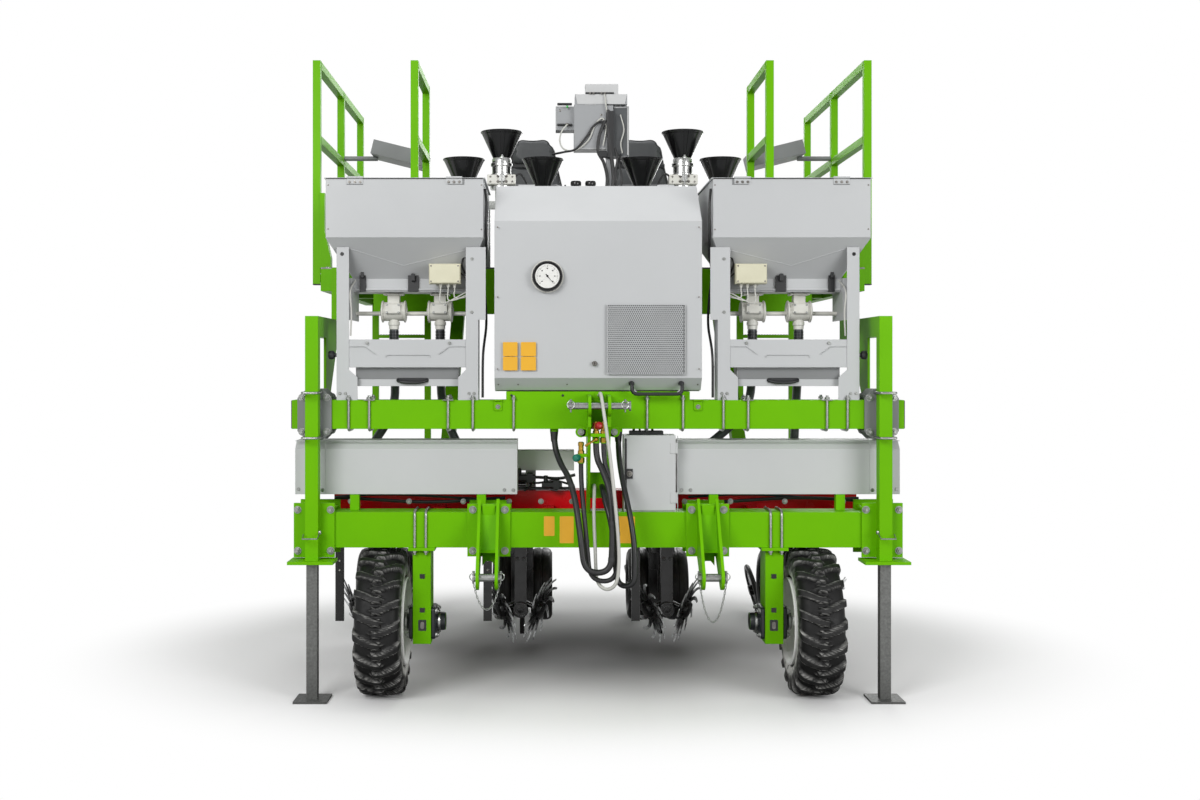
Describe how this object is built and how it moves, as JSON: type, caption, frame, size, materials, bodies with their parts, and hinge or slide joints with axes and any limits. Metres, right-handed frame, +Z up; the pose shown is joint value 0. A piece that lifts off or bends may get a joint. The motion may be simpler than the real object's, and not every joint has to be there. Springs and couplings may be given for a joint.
{
  "type": "plot seeder",
  "caption": "Tractor-mounted precision seeder for field trial plots, with hoppers, blower cabinet, operators' platform, row units, transport wheels and parking legs.",
  "frame": {"origin": "on the floor, centred across the machine and halfway between the hitch ears and the rear of the railings", "axes": "+X to the right seen from the tractor's side (front view), +Y from the hitch to the rear, +Z up"},
  "size_m": [2.96, 2.807, 3.167],
  "materials": {
    "green_paint": "gloss powder coat",
    "grey_sheet": "satin powder coat",
    "grey_plate": "grey coated steel",
    "red_paint": "gloss paint",
    "black_paint": "satin black paint",
    "zinc_steel": "zinc plated",
    "bare_steel": "drawn steel with light wear",
    "tyre_rubber": "dusty tyre rubber",
    "wheel_white": "pale wheel paint",
    "black_plastic": "moulded plastic",
    "white_plastic": "moulded plastic",
    "cream_plastic": "moulded box",
    "hose_rubber": "braided hose cover",
    "pale_cable_skin": "cable sheath",
    "seat_vinyl": "coated seat fabric",
    "console_grey": "satin grey"
  },
  "bodies": {
    "frame": {"main_beam": "green_paint", "upper_beam": "green_paint", "side_posts": "green_paint", "clamp_plates": "grey_plate", "wheel_struts": "green_paint", "lower_hitch": "green_paint", "hitch_mast": "green_paint", "hitch_pins": "zinc_steel", "cabinet_shell": "grey_sheet", "hoppers": "grey_sheet", "hopper_stands": "grey_sheet", "metering_units": "white_plastic", "junction_boxes": "cream_plastic", "fertiliser_hoses": "hose_rubber", "side_covers": "grey_plate", "control_box": "grey_plate", "tool_bar": "red_paint", "platform_frame": "green_paint", "platform_floor": "bare_steel", "railings": "green_paint", "seats": "seat_vinyl", "seed_funnels": "black_plastic", "funnel_rack": "zinc_steel", "console": "console_grey", "packet_trays": "grey_plate", "row_units": "black_paint", "front_hose": "hose_rubber", "rear_hose": "hose_rubber", "pale_cable": "pale_cable_skin", "black_cable": "hose_rubber"},
    "leg_left": {"leg_left": "bare_steel"},
    "leg_right": {"leg_right": "bare_steel"},
    "wheel_left": {"tyre_left": "tyre_rubber", "rim_left": "wheel_white"},
    "wheel_right": {"tyre_right": "tyre_rubber", "rim_right": "wheel_white"},
    "lid_left": {"lid_left": "grey_sheet"},
    "lid_right": {"lid_right": "grey_sheet"},
    "hood": {"cabinet_hood": "grey_sheet"},
    "door": {"control_door": "grey_plate"},
    "depth_wheels_1": {"depth_wheels_1": "tyre_rubber"},
    "star_wheel_1_left": {"star_wheel_1_left": "black_paint"},
    "closing_wheel_1_left": {"closing_wheel_1_left": "tyre_rubber"},
    "star_wheel_1_right": {"star_wheel_1_right": "black_paint"},
    "closing_wheel_1_right": {"closing_wheel_1_right": "tyre_rubber"},
    "depth_wheels_2": {"depth_wheels_2": "tyre_rubber"},
    "star_wheel_2_left": {"star_wheel_2_left": "black_paint"},
    "closing_wheel_2_left": {"closing_wheel_2_left": "tyre_rubber"},
    "star_wheel_2_right": {"star_wheel_2_right": "black_paint"},
    "closing_wheel_2_right": {"closing_wheel_2_right": "tyre_rubber"},
    "depth_wheels_3": {"depth_wheels_3": "tyre_rubber"},
    "star_wheel_3_left": {"star_wheel_3_left": "black_paint"},
    "closing_wheel_3_left": {"closing_wheel_3_left": "tyre_rubber"},
    "star_wheel_3_right": {"star_wheel_3_right": "black_paint"},
    "closing_wheel_3_right": {"closing_wheel_3_right": "tyre_rubber"},
    "depth_wheels_4": {"depth_wheels_4": "tyre_rubber"},
    "star_wheel_4_left": {"star_wheel_4_left": "black_paint"},
    "closing_wheel_4_left": {"closing_wheel_4_left": "tyre_rubber"},
    "star_wheel_4_right": {"star_wheel_4_right": "black_paint"},
    "closing_wheel_4_right": {"closing_wheel_4_right": "tyre_rubber"}
  },
  "joints": [
    {"name": "leg_left_slide", "type": "slide", "parent": "frame", "child": "leg_left", "axis": [0, 0, 1], "range_m": [0, 0.35]},
    {"name": "wheel_left_spin", "type": "hinge", "parent": "frame", "child": "wheel_left", "pos_m": [-1.01, -1.0645, 0.343], "axis": [1, 0, 0], "continuous": true},
    {"name": "lid_left_hinge", "type": "hinge", "parent": "frame", "child": "lid_left", "pos_m": [-0.903, -1.1645, 2.427], "axis": [1, 0, 0], "range_deg": [0, 100]},
    {"name": "leg_right_slide", "type": "slide", "parent": "frame", "child": "leg_right", "axis": [0, 0, 1], "range_m": [0, 0.35]},
    {"name": "wheel_right_spin", "type": "hinge", "parent": "frame", "child": "wheel_right", "pos_m": [1.01, -1.0645, 0.343], "axis": [1, 0, 0], "continuous": true},
    {"name": "lid_right_hinge", "type": "hinge", "parent": "frame", "child": "lid_right", "pos_m": [0.903, -1.1645, 2.427], "axis": [1, 0, 0], "range_deg": [0, 100]},
    {"name": "hood_hinge", "type": "hinge", "parent": "frame", "child": "hood", "pos_m": [0, -0.8745, 2.425], "axis": [-1, 0, 0], "range_deg": [0, 75]},
    {"name": "door_hinge", "type": "hinge", "parent": "frame", "child": "door", "pos_m": [0.368, -1.1345, 1.045], "axis": [0, 0, 1], "range_deg": [0, 120]},
    {"name": "depth_wheels_1_spin", "type": "hinge", "parent": "frame", "child": "depth_wheels_1", "pos_m": [-1.125, 0.1355, 0.325], "axis": [1, 0, 0], "continuous": true},
    {"name": "star_wheel_1_left_spin", "type": "hinge", "parent": "frame", "child": "star_wheel_1_left", "pos_m": [-1.217, -0.5325, 0.305], "axis": [0.8767, 0.3542, 0.3256], "continuous": true},
    {"name": "closing_wheel_1_left_spin", "type": "hinge", "parent": "frame", "child": "closing_wheel_1_left", "pos_m": [-1.21, 0.9355, 0.15843], "axis": [0.9659, 0, 0.2588], "continuous": true},
    {"name": "star_wheel_1_right_spin", "type": "hinge", "parent": "frame", "child": "star_wheel_1_right", "pos_m": [-1.033, -0.5325, 0.305], "axis": [0.8767, -0.3542, -0.3256], "continuous": true},
    {"name": "closing_wheel_1_right_spin", "type": "hinge", "parent": "frame", "child": "closing_wheel_1_right", "pos_m": [-1.04, 0.9355, 0.15843], "axis": [0.9659, 0, -0.2588], "continuous": true},
    {"name": "depth_wheels_2_spin", "type": "hinge", "parent": "frame", "child": "depth_wheels_2", "pos_m": [-0.375, 0.1355, 0.325], "axis": [1, 0, 0], "continuous": true},
    {"name": "star_wheel_2_left_spin", "type": "hinge", "parent": "frame", "child": "star_wheel_2_left", "pos_m": [-0.467, -0.5325, 0.305], "axis": [0.8767, 0.3542, 0.3256], "continuous": true},
    {"name": "closing_wheel_2_left_spin", "type": "hinge", "parent": "frame", "child": "closing_wheel_2_left", "pos_m": [-0.46, 0.9355, 0.15843], "axis": [0.9659, 0, 0.2588], "continuous": true},
    {"name": "star_wheel_2_right_spin", "type": "hinge", "parent": "frame", "child": "star_wheel_2_right", "pos_m": [-0.283, -0.5325, 0.305], "axis": [0.8767, -0.3542, -0.3256], "continuous": true},
    {"name": "closing_wheel_2_right_spin", "type": "hinge", "parent": "frame", "child": "closing_wheel_2_right", "pos_m": [-0.29, 0.9355, 0.15843], "axis": [0.9659, 0, -0.2588], "continuous": true},
    {"name": "depth_wheels_3_spin", "type": "hinge", "parent": "frame", "child": "depth_wheels_3", "pos_m": [0.375, 0.1355, 0.325], "axis": [1, 0, 0], "continuous": true},
    {"name": "star_wheel_3_left_spin", "type": "hinge", "parent": "frame", "child": "star_wheel_3_left", "pos_m": [0.283, -0.5325, 0.305], "axis": [0.8767, 0.3542, 0.3256], "continuous": true},
    {"name": "closing_wheel_3_left_spin", "type": "hinge", "parent": "frame", "child": "closing_wheel_3_left", "pos_m": [0.29, 0.9355, 0.15843], "axis": [0.9659, 0, 0.2588], "continuous": true},
    {"name": "star_wheel_3_right_spin", "type": "hinge", "parent": "frame", "child": "star_wheel_3_right", "pos_m": [0.467, -0.5325, 0.305], "axis": [0.8767, -0.3542, -0.3256], "continuous": true},
    {"name": "closing_wheel_3_right_spin", "type": "hinge", "parent": "frame", "child": "closing_wheel_3_right", "pos_m": [0.46, 0.9355, 0.15843], "axis": [0.9659, 0, -0.2588], "continuous": true},
    {"name": "depth_wheels_4_spin", "type": "hinge", "parent": "frame", "child": "depth_wheels_4", "pos_m": [1.125, 0.1355, 0.325], "axis": [1, 0, 0], "continuous": true},
    {"name": "star_wheel_4_left_spin", "type": "hinge", "parent": "frame", "child": "star_wheel_4_left", "pos_m": [1.033, -0.5325, 0.305], "axis": [0.8767, 0.3542, 0.3256], "continuous": true},
    {"name": "closing_wheel_4_left_spin", "type": "hinge", "parent": "frame", "child": "closing_wheel_4_left", "pos_m": [1.04, 0.9355, 0.15843], "axis": [0.9659, 0, 0.2588], "continuous": true},
    {"name": "star_wheel_4_right_spin", "type": "hinge", "parent": "frame", "child": "star_wheel_4_right", "pos_m": [1.217, -0.5325, 0.305], "axis": [0.8767, -0.3542, -0.3256], "continuous": true},
    {"name": "closing_wheel_4_right_spin", "type": "hinge", "parent": "frame", "child": "closing_wheel_4_right", "pos_m": [1.21, 0.9355, 0.15843], "axis": [0.9659, 0, -0.2588], "continuous": true}
  ]
}
